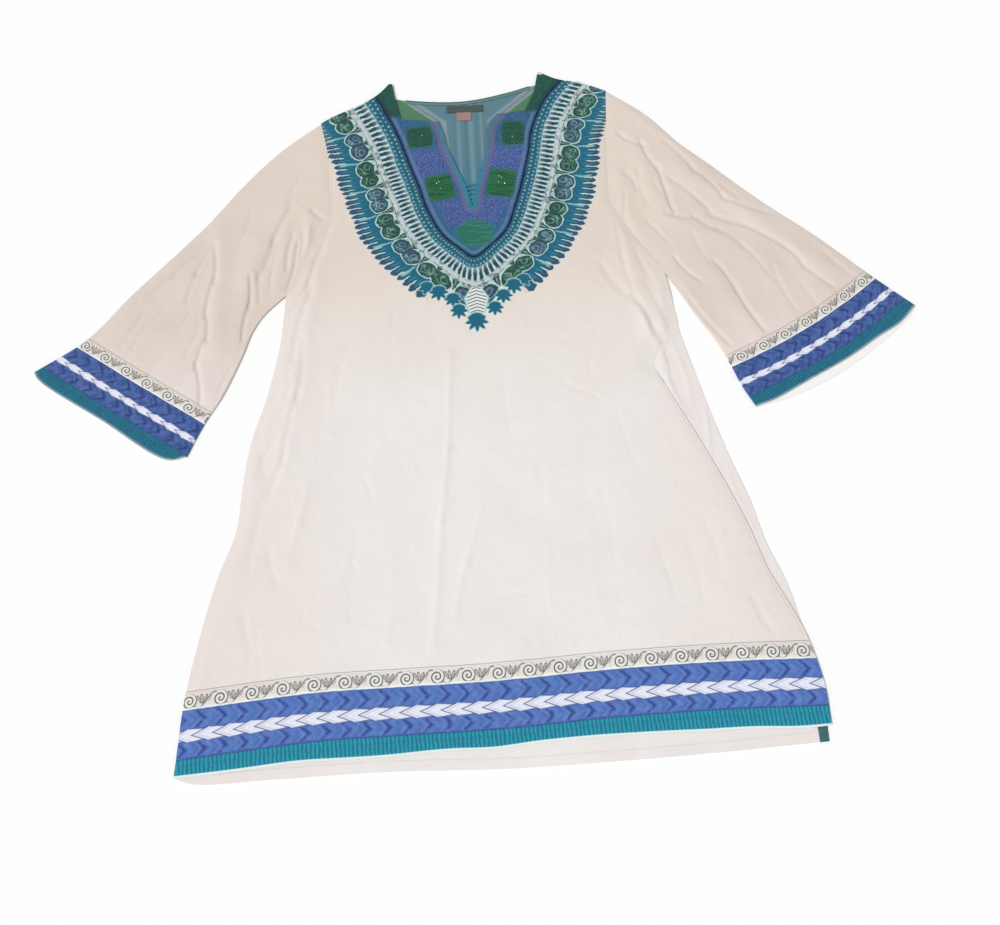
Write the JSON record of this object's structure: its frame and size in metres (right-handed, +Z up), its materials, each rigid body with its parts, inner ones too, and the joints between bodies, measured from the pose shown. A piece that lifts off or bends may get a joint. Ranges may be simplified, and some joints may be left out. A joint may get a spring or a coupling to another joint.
{
  "type": "dashiki dress",
  "caption": "Knee-length A-line dashiki dress laid flat, with bell sleeves, a square neck and slit, and printed neck, cuff and hem borders.",
  "frame": {"origin": "middle of the flat underside, at the centre of the laid-out dress", "axes": "+X across the dress from the sleeve on the left of the view to the one on the right, +Y from hem to neck, +Z up from the table"},
  "size_m": [1.1178, 0.9346, 0.0061],
  "materials": {
    "cloth": "plain-weave cotton, printed borders",
    "binding": "folded cotton binding",
    "label": "blank woven tape",
    "tag": "blank woven tape"
  },
  "bodies": {
    "root": {"front_panel": "cloth", "back_panel": "cloth", "sleeve_left": "cloth", "sleeve_right": "cloth", "back_neck_band": "binding", "neck_label": "label", "size_tag": "tag"}
  },
  "joints": []
}
